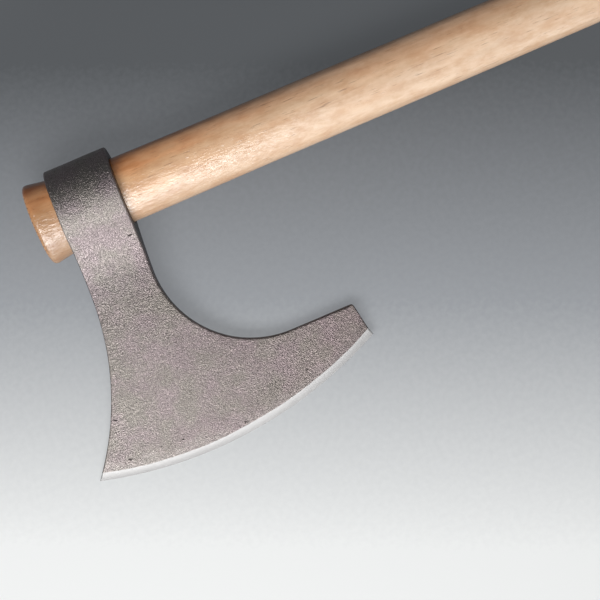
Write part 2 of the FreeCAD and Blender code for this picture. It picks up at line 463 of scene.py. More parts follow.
def skin_point(x, run, depth=0.0):
    """The place on the head of a point of the unrolled skin, sunk by depth. A negative run is underneath."""
    side = np.where(run < 0, -1.0, 1.0)
    length = np.abs(run)
    y = np.where(length > CHEEK_RUN, NECK_START + length - CHEEK_RUN, np.interp(length, RUN, RUN_Y))
    z = np.where(length > CHEEK_RUN, NECK_HALF_THICKNESS, np.interp(length, RUN, RUN_Z))
    z = np.where(length > CHEEK_RUN, np.minimum(z, blade_half_thickness(x, y)), z)
    normal_y = np.where(length > CHEEK_RUN, 0, np.interp(length, RUN, RUN_NORMAL_Y))
    normal_z = np.where(length > CHEEK_RUN, 1, np.interp(length, RUN, RUN_NORMAL_Z))
    return np.column_stack([x, y - normal_y * depth, side * (z - normal_z * depth)])


# -------- mesh of the head


class Patchwork:
    """Collects patches of points and triangles, which are welded into one mesh at the end."""

    def __init__(self):
        self.points = []
        self.faces = []
        self.slots = []
        self.count = 0

    def add(self, points, faces, slot=0):
        """Adds a patch whose faces take the material of that slot."""
        self.points.append(points)
        self.faces.append(np.asarray(faces) + self.count)
        self.slots += [slot] * len(faces)
        self.count += len(points)

    def mesh(self, name):
        """One welded mesh with its faces turned outwards."""
        mesh = bpy.data.meshes.new(name)
        faces = [face for patch in self.faces for face in patch.tolist()]
        mesh.from_pydata(np.vstack(self.points).tolist(), [], faces)
        mesh.polygons.foreach_set("material_index", self.slots)
        work = bmesh.new()
        work.from_mesh(mesh)
        bmesh.ops.remove_doubles(work, verts=work.verts, dist=WELD)
        loose = [vertex for vertex in work.verts if not vertex.link_faces]
        bmesh.ops.delete(work, geom=loose, context="VERTS")
        bmesh.ops.recalc_face_normals(work, faces=work.faces)
        work.to_mesh(mesh)
        work.free()
        return mesh


def triangulate(border, inner, hole=None):
    """Delaunay triangles of flat points inside a closed border and outside an optional closed hole."""
    loops = [border] if hole is None else [border, hole]
    flat = np.vstack(loops + [inner]) * CDT_SCALE
    edges = []
    for first, loop in zip([0, len(border)], loops):
        ids = np.arange(len(loop))
        edges += np.column_stack([ids + first, np.roll(ids, -1) + first]).tolist()
    face = list(range(len(border)))
    places = [Vector(point) for point in flat]
    _, _, triangles, origins, _, _ = delaunay_2d_cdt(places, edges, [face], CDT_INSIDE, CDT_TOLERANCE)
    source = np.array([inputs[0] for inputs in origins])
    return flat / CDT_SCALE, source[np.array(triangles)]


def nearest(points, targets):
    """Index of the nearest target to each flat point, and how far it is."""
    tree = kdtree.KDTree(len(targets))
    for index, target in enumerate(targets):
        tree.insert((target[0], target[1], 0), index)
    tree.balance()
    found = [tree.find((point[0], point[1], 0))[1:] for point in points]
    return np.array([hit[0] for hit in found]), np.array([hit[1] for hit in found])


def inside(points, loop):
    """Which flat points lie inside a closed loop."""
    x, y = points.T
    result = np.zeros(len(points), bool)
    for (x1, y1), (x2, y2) in zip(loop, np.roll(loop, -1, axis=0)):
        if y1 != y2:
            crosses = (y1 > y) != (y2 > y)
            result ^= crosses & (x < (x2 - x1) * (y - y1) / (y2 - y1) + x1)
    return result


def lattice(low, high, step):
    """Flat points in a triangular lattice between two corners."""
    row = step * math.sqrt(3) / 2
    x, y = np.meshgrid(np.arange(low[0], high[0], step), np.arange(low[1], high[1], row))
    x[1::2] += step / 2
    return np.column_stack([x.ravel(), y.ravel()])


def arris_radius(x, half_thickness, widest):
    """Radius of a softened corner, less where the blade is thin and on the end face of the beard."""
    stations = [BEARD_CORNER_X, BEARD_CORNER_X + BEARD_CORNER_RADIUS]
    limit = np.interp(x, stations, [BEARD_END_ARRIS_RADIUS, BUTT_ARRIS_RADIUS])
    return np.minimum(np.minimum(widest, limit), ARRIS_SHARE * half_thickness)


def poll_runs():
    """Runs of skin round the poll, from beside the haft below to beside it above."""
    return line((-POLL_RUN, 0), (POLL_RUN, 0))[1:, 0]


def unrolled(plan, side):
    """A plan's points on the unrolled skin, above where side is 1 and below where it is -1."""
    return np.column_stack([plan[:, 0], side * run_at(plan[:, 1])])


def wall_half_thickness(x, run):
    """Half thickness of the side wall at points of the skin's border."""
    thickness = np.abs(skin_point(x, run)[:, 2])
    return np.where(np.abs(run) < CHEEK_RUN, CHEEK_HALF_WIDTH, thickness)


def skin_border():
    """The unrolled skin's closed border and the radius of the softened corner along it.

    It runs up the toe side from below, over the poll, back down the toe side above, along the edge, and
    the same way round the butt side, so that the edge is met once above and once below.
    """
    toe = toe_side()
    butt = butt_side()
    edge = arc(edge_centre(), toe[-1], HEEL)[1:]
    round_poll = poll_runs()
    poll_column = np.zeros(len(round_poll))
    parts = [
        (unrolled(toe[::-1], -1), TOE_ARRIS_RADIUS),
        (np.column_stack([poll_column + EYE_LENGTH / 2, round_poll]), TOE_ARRIS_RADIUS),
        (unrolled(toe, 1), TOE_ARRIS_RADIUS),
        (unrolled(edge, 1), 0.0),
        (unrolled(butt[::-1], 1), BUTT_ARRIS_RADIUS),
        (np.column_stack([poll_column - EYE_LENGTH / 2, round_poll[::-1]]), BUTT_ARRIS_RADIUS),
        (unrolled(butt, -1), BUTT_ARRIS_RADIUS),
        (unrolled(edge[::-1], -1), 0.0),
    ]
    border = np.vstack([points for points, _ in parts])
    widest = np.concatenate([np.full(len(points), radius) for points, radius in parts])
    x, run = border.T
    return border, arris_radius(x, wall_half_thickness(x, run), widest)


def inward(loop):
    """Unit vectors that point into a closed loop, which runs counterclockwise."""
    tangent = np.roll(loop, -1, axis=0) - np.roll(loop, 1, axis=0)
    tangent /= np.linalg.norm(tangent, axis=1)[:, None]
    return np.column_stack([-tangent[:, 1], tangent[:, 0]])


def arris_rings(border, radius):
    """Rings of skin points that turn the corner, with the depth of each below the flat skin."""
    kept = radius >= SMALLEST_ARRIS
    normal = inward(border)[kept]
    points, depths = [], []
    for turn in ARRIS_TURNS:
        away = radius[kept] * (1 - math.cos(turn))
        points.append(border[kept] + normal * away[:, None])
        depths.append(radius[kept] * (1 - math.sin(turn)))
    return np.vstack(points), np.concatenate(depths)


def bevel_rings():
    """Skin points on both sides in rows along the bevel and just behind its shoulder."""
    centre = edge_centre()
    first = edge_polar(*toe_sweep()[2])[1]
    last = edge_polar(*HEEL)[1]
    along = np.arange(last + OUTLINE_STEP / 2, first, OUTLINE_STEP)
    shoulder = shoulder_radius(along)
    width = EDGE_RADIUS - shoulder
    rows = [shoulder - BEHIND_SHOULDER, shoulder] + [shoulder + width * share for share in BEVEL_ROWS]
    points = []
    for radius in rows:
        x = centre[0] + radius * np.sin(along / EDGE_RADIUS)
        run = run_at(centre[1] + radius * np.cos(along / EDGE_RADIUS))
        points += [np.column_stack([x, run]), np.column_stack([x, -run])]
    return np.vstack(points)


def skin_patch():
    """The whole outer skin as one sheet, from the edge below round the poll to the edge above."""
    border, radius = skin_border()
    rings, ring_depths = arris_rings(border, radius)
    field = lattice(border.min(axis=0), border.max(axis=0), SKIN_STEP)
    place = skin_point(field[:, 0], field[:, 1])
    distance, along = edge_polar(place[:, 0], place[:, 1])
    on_cheek = np.abs(field[:, 1]) <= CHEEK_RUN
    field = field[on_cheek | (distance < shoulder_radius(along) - FIELD_GAP)]
    extra = np.vstack([bevel_rings(), field])
    extra = extra[inside(extra, border)]
    closest, gap = nearest(extra, border)
    extra = extra[gap > radius[closest] + SKIN_STEP / 2]
    flat, faces = triangulate(border, np.vstack([rings, extra]))
    depth = np.zeros(len(flat))
    depth[: len(border)] = radius
    depth[len(border) : len(border) + len(rings)] = ring_depths
    return skin_point(flat[:, 0], flat[:, 1], depth), faces


def bore_half_sizes(x):
    """Half depth and half thickness of the eye's bore."""
    run = np.maximum(0, x - FLARE_START_X)
    half_depth = SEAT_HALF_DEPTH + EYE_CLEARANCE + run * FLARE_SLOPE_DEPTH
    half_thickness = SEAT_HALF_THICKNESS + EYE_CLEARANCE + run * FLARE_SLOPE_THICKNESS
    return half_depth, half_thickness


def plan_length(plan):
    """Length along a plan, from its first point to each of its points."""
    steps = np.hypot(*np.diff(plan, axis=0).T)
    return np.concatenate([[0], np.cumsum(steps)])


def wall_border(plan, widest):
    """A side wall's closed border in space, and the same border with the wall flattened out."""
    round_poll = poll_runs()
    x = np.concatenate([plan[::-1, 0], np.full(len(round_poll), plan[0, 0]), plan[:, 0]])
    runs = np.concatenate([-run_at(plan[::-1, 1]), round_poll, run_at(plan[:, 1])])
    border = skin_point(x, runs, arris_radius(x, wall_half_thickness(x, runs), widest))
    length = plan_length(plan)
    poll_length = skin_point(np.zeros(len(round_poll)), round_poll)[:, 1]
    flat_length = np.concatenate([length[::-1], poll_length, length])
    nominal_y = skin_point(x, runs)[:, 1]
    return border, np.column_stack([flat_length + border[:, 1] - nominal_y, border[:, 2]])


def bore_mouth(x):
    """The mouth of the eye's bore in the side wall at x, outside its rounded rim."""
    half_depth, half_thickness = bore_half_sizes(x)
    turn = full_turn(BORE_SEGMENTS)
    y = (half_depth + EYE_MOUTH_RADIUS) * np.cos(turn)
    z = (half_thickness + EYE_MOUTH_RADIUS) * np.sin(turn)
    return np.column_stack([y, z])


def on_wall(plan, flat):
    """Where points of a flattened side wall are in space."""
    length = np.concatenate([[-POLL_DEPTH], plan_length(plan)])
    x = np.concatenate([[plan[0, 0]], plan[:, 0]])
    y = np.concatenate([[-POLL_DEPTH], plan[:, 1]])
    along = flat[:, 0]
    return np.column_stack([np.interp(along, length, x), np.interp(along, length, y), flat[:, 1]])


def wall_patch(plan, widest):
    """A side wall that follows the plan from the poll to the blade's tip, with the bore's mouth cut in."""
    border, flat_border = wall_border(plan, widest)
    mouth = bore_mouth(plan[0, 0])
    field = lattice(flat_border.min(axis=0), flat_border.max(axis=0), WALL_STEP)
    field = field[inside(field, flat_border) & ~inside(field, mouth)]
    gap = nearest(field, np.vstack([flat_border, mouth]))[1]
    flat, faces = triangulate(flat_border, field[gap > WALL_STEP / 2], mouth)
    faces = faces[~inside(flat[faces].mean(axis=1), mouth)]
    points = on_wall(plan, flat)
    points[: len(border)] = border
    return points, faces, on_wall(plan, mouth)


def bore_ring(x):
    """A ring of the bore's wall, with an x for each of its points."""
    half_depth, half_thickness = bore_half_sizes(x)
    turn = full_turn(BORE_SEGMENTS)
    return np.column_stack([x, half_depth * np.cos(turn), half_thickness * np.sin(turn)])


def mouth_rim(mouth, inward_x):
    """Rings that round the corner from a side wall into the bore."""
    rim = []
    for angle in ARRIS_TURNS:
        x = mouth[:, 0] + inward_x * EYE_MOUTH_RADIUS * (1 - math.cos(angle))
        share = 1 - math.sin(angle)
        rim.append(bore_ring(x) + (mouth - bore_ring(mouth[:, 0])) * [0, share, share])
    return rim


def bore_patch(top_mouth, butt_mouth):
    """The eye's bore between the two mouths, whose rims are rounded."""
    middle = [bore_ring(np.full(BORE_SEGMENTS, x)) for x in BORE_RINGS]
    butt_rim = mouth_rim(butt_mouth, 1)[::-1]
    return ring_patch([top_mouth, *mouth_rim(top_mouth, -1), *middle, *butt_rim, butt_mouth])


def ring_patch(rings):
    """Quads between closed rings of equally many points."""
    count = len(rings[0])
    ids = np.arange(count)
    after = np.roll(ids, -1)
    faces = []
    for index in range(len(rings) - 1):
        low = index * count
        high = low + count
        faces.append(np.column_stack([ids + low, after + low, after + high, ids + high]))
    return np.vstack(rings), np.vstack(faces)


def edge_patch():
    """The narrow face of the cutting edge itself."""
    plan = np.vstack([arc(edge_centre(), toe_sweep()[2], HEEL), HEEL])
    run = run_at(plan[:, 1])
    depth = np.zeros(len(plan))
    ends = [0, -1]
    half_thickness = np.abs(skin_point(plan[ends, 0], run[ends])[:, 2])
    depth[ends] = arris_radius(plan[ends, 0], half_thickness, BUTT_ARRIS_RADIUS)
    upper = skin_point(plan[:, 0], run, depth)
    lower = skin_point(plan[:, 0], -run, depth)
    ids = np.arange(len(plan) - 1)
    faces = np.column_stack([ids, ids + 1, ids + 1 + len(plan), ids + len(plan)])
    return np.vstack([upper, lower]), faces


def head_mesh():
    """The forged head, without its surface grain."""
    work = Patchwork()
    work.add(*skin_patch())
    toe_points, toe_faces, top_mouth = wall_patch(toe_side(), TOE_ARRIS_RADIUS)
    butt_points, butt_faces, butt_mouth = wall_patch(butt_side(), BUTT_ARRIS_RADIUS)
    work.add(toe_points, toe_faces, SHADED_WALL_SLOT)
    work.add(butt_points, butt_faces, SHADED_WALL_SLOT)
    work.add(*bore_patch(top_mouth, butt_mouth), SHADED_WALL_SLOT)
    work.add(*edge_patch())
    return work.mesh("axe_head")


def roughen(mesh):
    """Raises the blasted, wrinkled grain of the forging, which fades out on the bevel and in the bore."""
    mesh.update()
    places = [vertex.co.copy() for vertex in mesh.vertices]
    normals = [vertex.normal.copy() for vertex in mesh.vertices]
    share = grain_share(np.array([tuple(place) for place in places]))
    for vertex, place, normal, amount in zip(mesh.vertices, places, normals, share):
        if amount > 0:
            cells = noise.voronoi(place / GRAIN_SIZE)[0]
            lump = min(1.0, (cells[1] - cells[0]) * GRAIN_CONTRAST) - 0.5
            swell = noise.noise(place / SWELL_SIZE)
            vertex.co = place + normal * float(amount) * (GRAIN_HEIGHT * lump + SWELL_HEIGHT * swell)


def grain_share(points):
    """How much of the grain each point of the head carries, from 0 to 1."""
    x, y, z = points.T
    radius, along = edge_polar(x, y)
    behind = shoulder_radius(along) - radius
    share = np.clip((behind - SMOOTH_BAND * SMOOTH_START) / SMOOTH_BAND, 0, 1)
    bore_y, bore_z = bore_half_sizes(x)
    bore = np.hypot(y / bore_y, z / bore_z)
    return share * np.clip((bore - BORE_MARGIN) / BORE_FADE, 0, 1)


def forged_head():
    """The head as an object: blasted skin, ground bevel, and dark steel on the side walls and in the bore
    that is painted shade.
    """
    mesh = head_mesh()
    roughen(mesh)
    piece = bpy.data.objects.new("forged_head", mesh)
    mesh.materials.append(forged_steel("forged_steel"))
    mesh.materials.append(ground_steel())
    # painted shade on the side walls and in the bore
    mesh.materials.append(forged_steel("shaded_wall_steel", WALL_SHADE_TINT))
    centres = np.array([tuple(face.center) for face in mesh.polygons])
    radius, along = edge_polar(centres[:, 0], centres[:, 1])
    slots = np.zeros(len(centres), np.int32)
    mesh.polygons.foreach_get("material_index", slots)
    slots[centres[:, 0] < BEARD_CORNER_X] = SKIN_SLOT
    slots[radius > shoulder_radius(along)] = GROUND_SLOT
    mesh.polygons.foreach_set("material_index", slots)
    mesh.shade_smooth()
    mesh.set_sharp_from_angle(angle=SHARP_ANGLE)
    return piece


# -------- mesh of the haft


def haft_half_sizes(x):
    """Half depth and half thickness of the haft at x, without its rounded ends."""
    run = max(0.0, x - FLARE_START_X)
    stations = [BUTT_X, WAIST_X, FLARE_START_X]
    half_depth = np.interp(x, stations, [BUTT_HALF_DEPTH, WAIST_HALF_DEPTH, SEAT_HALF_DEPTH])
    half_thickness = np.interp(x, stations, [BUTT_HALF_THICKNESS, WAIST_HALF_THICKNESS, SEAT_HALF_THICKNESS])
    return half_depth + run * FLARE_SLOPE_DEPTH, half_thickness + run * FLARE_SLOPE_THICKNESS


def rounded_rim(radius):
    """(way in from the end, inset) of each ring of an end's rounded rim."""
    turns = np.linspace(0, math.pi / 2, RIM_STATIONS)
    return [(radius * (1 - math.cos(turn)), radius * (1 - math.sin(turn))) for turn in turns]


def haft_stations():
    """(x, inset) along the haft: the butt's rounded rim, the long run, and the top end's rounded rim."""
    butt = [(BUTT_X + way_in, inset) for way_in, inset in rounded_rim(BUTT_ROUND)]
    top = [(HAFT_TOP_X - way_in, inset) for way_in, inset in rounded_rim(TOP_ROUND)]
    start = BUTT_X + BUTT_ROUND
    end = HAFT_TOP_X - TOP_ROUND
    count = round((end - start) / HAFT_STEP)
    middle = [(start + (end - start) * step / count, 0.0) for step in range(1, count)]
    return butt + middle + top[::-1]


def haft_mesh():
    """The haft: shaved by hand, so its sides are a little uneven, and sawn and rounded at both ends."""
    turn = full_turn(HAFT_SEGMENTS)
    across = np.column_stack([np.zeros(HAFT_SEGMENTS), np.cos(turn), np.sin(turn)])
    rings = []
    for x, inset in haft_stations():
        half_depth, half_thickness = haft_half_sizes(x)
        dips = np.array([shaving_dip(x, angle) for angle in turn])
        sizes = np.array([0.0, half_depth - inset, half_thickness - inset])
        ring = across * sizes
        ring *= 1 - (dips / half_thickness)[:, None]
        ring[:, 0] = x
        rings.append(ring)
    rings = end_cap(rings[0])[::-1] + rings + end_cap(rings[-1])
    work = Patchwork()
    work.add(*ring_patch(rings))
    for ring in (rings[0], rings[-1]):
        centre = ring.mean(axis=0)
        ids = np.arange(HAFT_SEGMENTS)
        fan = np.column_stack([ids, np.roll(ids, -1), np.full(HAFT_SEGMENTS, HAFT_SEGMENTS)])
        work.add(np.vstack([ring, centre]), fan)
    return work.mesh("haft")


def end_cap(rim):
    """Rings that close an end face, from just inside its rim to near its middle."""
    centre = rim.mean(axis=0)
    return [centre + (rim - centre) * share for share in END_CAP_SHARES]


def side_noise(x, angle, length, around):
    """Noise over the haft's sides from 0 to 1, stretched along the haft."""
    place = Vector((x / length, math.cos(angle) * around, math.sin(angle) * around))
    return 0.5 + 0.5 * noise.noise(place)


def shaving_dip(x, angle):
    """How far the shaved surface lies below the haft's nominal oval."""
    shaving = side_noise(x, angle, SHAVING_LENGTH, SHAVINGS_ROUND)
    return SHAVING_DEPTH * shaving + FIBRE_DEPTH * side_noise(x, angle, FIBRE_LENGTH, FIBRES_ROUND)


def hickory_haft():
    """The haft as an object."""
    mesh = haft_mesh()
    mesh.materials.append(hickory())
    mesh.materials.append(end_grain())
    for face in mesh.polygons:
        if abs(face.normal.x) > END_FACING:
            face.material_index = END_SLOT
    mesh.shade_smooth()
    return bpy.data.objects.new("hickory_haft", mesh)


# -------- materials


def feed(tree, node, inputs):
    """Gives a node its inputs, as values or as the sockets that feed them."""
    for name, value in inputs.items():
        if isinstance(value, bpy.types.NodeSocket):
            tree.links.new(value, node.inputs[name])
        else:
            node.inputs[name].default_value = value


def add_node(tree, kind, inputs=None, **settings):
    """A shader node with its settings and its inputs."""
    node = tree.nodes.new("ShaderNode" + kind)
    for name, value in settings.items():
        setattr(node, name, value)
    feed(tree, node, inputs or {})
    return node


def new_material(name):
    """A material with its tree, its Principled shader and coordinates in the axe's own axes."""
    material = bpy.data.materials.new(name)
    material.use_nodes = True
    tree = material.node_tree
    shader = tree.nodes["Principled BSDF"]
    laid = tree.nodes.new("ShaderNodeTexCoord").outputs["Object"]
    inputs = {"Vector": laid, "Location": ORIGIN, "Rotation": (-ROLL, 0, 0)}
    place = add_node(tree, "Mapping", inputs, vector_type="TEXTURE").outputs[0]
    return material, tree, shader, place


def grain_noise(tree, place, size, detail=2.0, roughness=0.5, stretch=(1, 1, 1)):
    """Noise of a given size in metres, which may be stretched along an axis."""
    mapping = add_node(tree, "Mapping", {"Vector": place, "Scale": [1 / factor for factor in stretch]})
    inputs = {"Vector": mapping.outputs[0], "Scale": 1 / size, "Detail": detail, "Roughness": roughness}
    return add_node(tree, "TexNoise", inputs).outputs["Fac"]


def spread(tree, value, low, high, out_low=0.0, out_high=1.0):
    """A value stretched from one range to another, and clamped."""
    inputs = {"Value": value, "From Min": low, "From Max": high, "To Min": out_low, "To Max": out_high}
    return add_node(tree, "MapRange", inputs).outputs[0]


def waver(tree, place, pattern, height):
    """Noise that goes up and down from zero by a height."""
    return spread(tree, grain_noise(tree, place, *pattern), *NOISE_RANGE, -height, height)


def math_node(tree, operation, first, second=0.0):
    """A sum, product or the like of two values, or the size or the fraction of one."""
    return add_node(tree, "Math", {0: first, 1: second}, operation=operation).outputs[0]


def opaque(colour):
    """A colour as a socket takes it."""
    return (*colour, 1.0)


def ramp(tree, value, stops):
    """Colours along a value. Each stop is (position, (red, green, blue))."""
    node = add_node(tree, "ValToRGB", {"Fac": value})
    elements = node.color_ramp.elements
    while len(elements) < len(stops):
        elements.new(0.5)
    for element, (position, colour) in zip(elements, stops):
        element.position = position
        element.color = opaque(colour)
    return node.outputs["Color"]


def mix_colours(tree, factor, first, second, blend="MIX"):
    """Second colour laid over the first by factor."""
    inputs = dict(zip(MIX_INPUTS, (factor, first, second)))
    return add_node(tree, "Mix", inputs, data_type="RGBA", blend_type=blend).outputs[MIX_RESULT]


def tinted(tree, colour, *tints):
    """A colour multiplied by others in turn."""
    for tint in tints:
        colour = mix_colours(tree, 1.0, colour, tint, "MULTIPLY")
    return colour


def distance_from(tree, place, centre, scale, turn=0.0):
    """Distance from a centre, measured in units of scale along each axis, after a turn about Z."""
    inputs = {"Vector": place, "Location": centre, "Rotation": (0.0, 0.0, turn), "Scale": scale}
    local = add_node(tree, "Mapping", inputs, vector_type="TEXTURE").outputs[0]
    return add_node(tree, "VectorMath", {0: local}, operation="LENGTH").outputs["Value"]


def add_bump(tree, shader, height, distance, socket="Normal"):
    """Roughens a shader's surface, or its coat's, by a height times a distance."""
    bump = add_node(tree, "Bump", {"Height": height, "Strength": 1.0, "Distance": distance})
    feed(tree, shader, {socket: bump.outputs[0]})


def wrinkled_grain(tree, place):
    """The fine leathery grain that blasting leaves, from about 0.3 to 0.7."""
    lumps = math_node(tree, "MULTIPLY", grain_noise(tree, place, *STEEL_LUMPS), LUMP_SHARE)
    ridge = math_node(tree, "SUBTRACT", grain_noise(tree, place, *STEEL_WRINKLES), 0.5)
    away = math_node(tree, "ABSOLUTE", ridge)
    return math_node(tree, "ADD", lumps, spread(tree, away, 0.0, WRINKLE_WIDTH, 0.0, WRINKLE_SHARE))


def beside_bevel(tree, place):
    """A ragged band along the bevel that the grinding belt has brushed smooth, from 0 to 1."""
    radius = distance_from(tree, place, (*edge_centre(), 0.0), (1.0, 1.0, FAR_AWAY))
    ragged = waver(tree, place, BRUSHED_RAGS, BRUSHED_WANDER)
    start, full = [EDGE_RADIUS - BEVEL_WIDTH - behind for behind in BRUSHED_BAND]
    return spread(tree, math_node(tree, "ADD", radius, ragged), start, full)


def pit_marks(tree, place):
    """Where the deeper pits of the upper face are, from 0 to 1."""
    marks = 0.0
    for x, y, half_length, half_width, turn in PITS:
        scale = (half_length, half_width, PIT_REACH)
        distance = distance_from(tree, place, (x, y, PIT_HEIGHT), scale, turn)
        marks = math_node(tree, "MAXIMUM", spread(tree, distance, *PIT_RIM), marks)
    return marks


def steel_colour(tree, place, grain, brushed, tone):
    """Pink and olive clouds, with painted shade towards the beard, darker on the blade, and painted shade in
    the grain's hollows.
    """
    axes = add_node(tree, "SeparateXYZ", {0: place}).outputs
    clouds = grain_noise(tree, place, *STEEL_CLOUDS)
    tint = ramp(tree, clouds, [(0.38, STEEL_OLIVE), (0.62, STEEL_PINK)])
    worn = math_node(tree, "MULTIPLY", brushed, BRUSHED_SHARE)
    tint = mix_colours(tree, worn, tint, opaque(STEEL_BRUSHED))
    # painted shade that darkens the steel towards the beard, where less light falls
    towards_top = spread(tree, axes["X"], HEEL[0], EYE_LENGTH)
    beard_shade = ramp(tree, towards_top, [(0.0, BEARD_SHADE_TINT), (1.0, WHITE)])
    # the blade is a little darker than the eye
    onto_blade = spread(tree, axes["Y"], NECK_START, NECK_START + BLADE_DARKENING_RUN)
    blade_darkening = ramp(tree, onto_blade, [(0.0, WHITE), (1.0, BLADE_TINT)])
    hollow = [HOLLOW_SHADE * part for part in tone]
    shade = ramp(tree, grain, [(0.32, hollow), (0.68, tone)])
    return tinted(tree, tint, beard_shade, blade_darkening, shade)


def forged_steel(name, tone=WHITE):
    """Blasted and browned steel: dull and finely wrinkled, with a few dark pits."""
    material, tree, shader, place = new_material(name)
    grain = wrinkled_grain(tree, place)
    brushed = beside_bevel(tree, place)
    pits = pit_marks(tree, place)
    colour = mix_colours(tree, pits, steel_colour(tree, place, grain, brushed, tone), opaque(PIT_COLOUR))
    roughness = spread(tree, grain, *NOISE_RANGE, *STEEL_ROUGHNESS)
    feed(tree, shader, {"Base Color": colour, "Roughness": roughness, "Metallic": 1.0})
    along = add_node(tree, "SeparateXYZ", {0: place}).outputs["X"]
    depth = spread(tree, along, HEEL[0], HEEL[0] / 2, BEARD_CALM, 1.0)
    calm = math_node(tree, "MULTIPLY", depth, spread(tree, brushed, 0.0, 1.0, 1.0, BRUSHED_CALM))
    height = math_node(tree, "SUBTRACT", math_node(tree, "MULTIPLY", grain, calm), pits)
    add_bump(tree, shader, height, GRAIN_BUMP)
    return material


def ground_steel():
    """The bevel: bright steel with fine grinding lines across the edge, painted darker towards the toe and
    lighter towards the beard to set how bright its reflection looks.
    """
    material, tree, shader, place = new_material("ground_steel")
    lines = grain_noise(tree, place, *GRINDING_LINES)
    along = add_node(tree, "SeparateXYZ", {0: place}).outputs["X"]
    # painted shade towards the toe and painted highlight towards the beard
    tint = ramp(tree, spread(tree, along, HEEL[0], 0.0), [(0.0, GROUND_BEARD_LIT), (1.0, GROUND_TOE_SHADED)])
    shade = ramp(tree, lines, [(0.3, GRINDING_TINT), (0.7, WHITE)])
    roughness = spread(tree, lines, *NOISE_RANGE, *GROUND_ROUGHNESS)
    feed(tree, shader, {"Base Color": tinted(tree, tint, shade), "Roughness": roughness, "Metallic": 1.0})
    add_bump(tree, shader, lines, GRINDING_BUMP)
    return material


def hickory_colour(tree, place, bands, mottle, pore):
    """Heartwood towards the poll and sapwood towards the edge, with painted shade along the upper edge;
    bleached down the haft, and darker and greyer on the end beyond the eye.
    """
    axes = add_node(tree, "SeparateXYZ", {0: place}).outputs
    wandered = math_node(tree, "ADD", axes["Y"], waver(tree, place, WOOD_CLOUDS, HEARTWOOD_AND_SHADE_WANDER))
    across = spread(tree, wandered, -HEARTWOOD_AND_SHADE_REACH, HEARTWOOD_AND_SHADE_REACH)
    # across the haft: real heartwood and sapwood, with painted shade along the upper edge
    tint = ramp(tree, across, [(0.0, HEARTWOOD_EDGE_SHADE), (0.2, HEARTWOOD), (0.4, MIDWOOD), (0.85, SAPWOOD)])
    bleach = spread(tree, axes["X"], *BLEACHING, 0.0, BLEACHED_SHARE)
    tint = mix_colours(tree, bleach, tint, opaque(BLEACHED_WOOD))
    # darker and greyer on the haft's end beyond the eye
    stub_darkening = ramp(tree, spread(tree, axes["X"], *STUB_DARKENING_SPAN), [(0.0, WHITE), (1.0, STUB_TINT)])
    banding = ramp(tree, bands, [(0.35, BAND_TINT), (0.60, WHITE)])
    mottling = ramp(tree, mottle, [(0.36, MOTTLE_TINT), (0.60, WHITE)])
    colour = tinted(tree, tint, stub_darkening, banding, mottling)
    return mix_colours(tree, math_node(tree, "MULTIPLY", pore, PORE_SHARE), colour, opaque(WOOD_PORE))


def lacquer(tree, shader, place, mottle):
    """The gloss coat over the wood, patchy and finely rippled."""
    flecks = grain_noise(tree, place, *LACQUER_FLECKS)
    weight = spread(tree, mottle, 0.38, 0.58, *COAT_WEIGHT)
    roughness = spread(tree, flecks, 0.40, 0.60, *COAT_ROUGHNESS)
    feed(tree, shader, {"Coat Weight": weight, "Coat Roughness": roughness, "Coat IOR": COAT_IOR})
    add_bump(tree, shader, flecks, LACQUER_RIPPLE, "Coat Normal")


def hickory():
    """Lacquered hickory: straight bands along the haft and short dark pores."""
    material, tree, shader, place = new_material("hickory")
    bands = grain_noise(tree, place, *WOOD_BANDS)
    mottle = grain_noise(tree, place, *WOOD_MOTTLE)
    pore = spread(tree, grain_noise(tree, place, *WOOD_PORES), *PORE_RANGE)
    colour = hickory_colour(tree, place, bands, mottle, pore)
    roughness = spread(tree, bands, *NOISE_RANGE, *WOOD_ROUGHNESS)
    feed(tree, shader, {"Base Color": colour, "Roughness": roughness, "Specular IOR Level": WOOD_SPECULAR})
    height = math_node(tree, "SUBTRACT", bands, math_node(tree, "MULTIPLY", pore, PORE_DEPTH))
    add_bump(tree, shader, height, WOOD_BUMP)
    lacquer(tree, shader, place, mottle)
    return material


def end_grain():
    """The haft's sawn ends: growth rings about a pith that lies outside them, and open pores."""
    material, tree, shader, place = new_material("end_grain")
    radius = distance_from(tree, place, PITH, (FAR_AWAY, 1.0, 1.0))
    wandered = math_node(tree, "ADD", radius, waver(tree, place, END_WAVES, END_WANDER))
    rings = math_node(tree, "DIVIDE", wandered, RING_SPACING)
    late = math_node(tree, "FRACT", rings)
    tint = ramp(tree, late, [(0.0, END_DARK), (0.25, END_PALE), (0.85, END_PALE), (1.0, END_DARK)])
    pores = spread(tree, grain_noise(tree, place, *END_PORES), *END_PORE_RANGE)
    tint = mix_colours(tree, math_node(tree, "MULTIPLY", pores, END_PORE_SHARE), tint, opaque(WOOD_PORE))
    roughness = spread(tree, pores, 0.0, 1.0, *END_ROUGHNESS)
    feed(tree, shader, {"Base Color": tint, "Roughness": roughness, "Specular IOR Level": WOOD_SPECULAR})
    height = math_node(tree, "SUBTRACT", spread(tree, late, 0.0, LATE_WOOD_HEIGHT), pores)
    add_bump(tree, shader, height, END_BUMP)
    return material


# -------- stage, light and camera


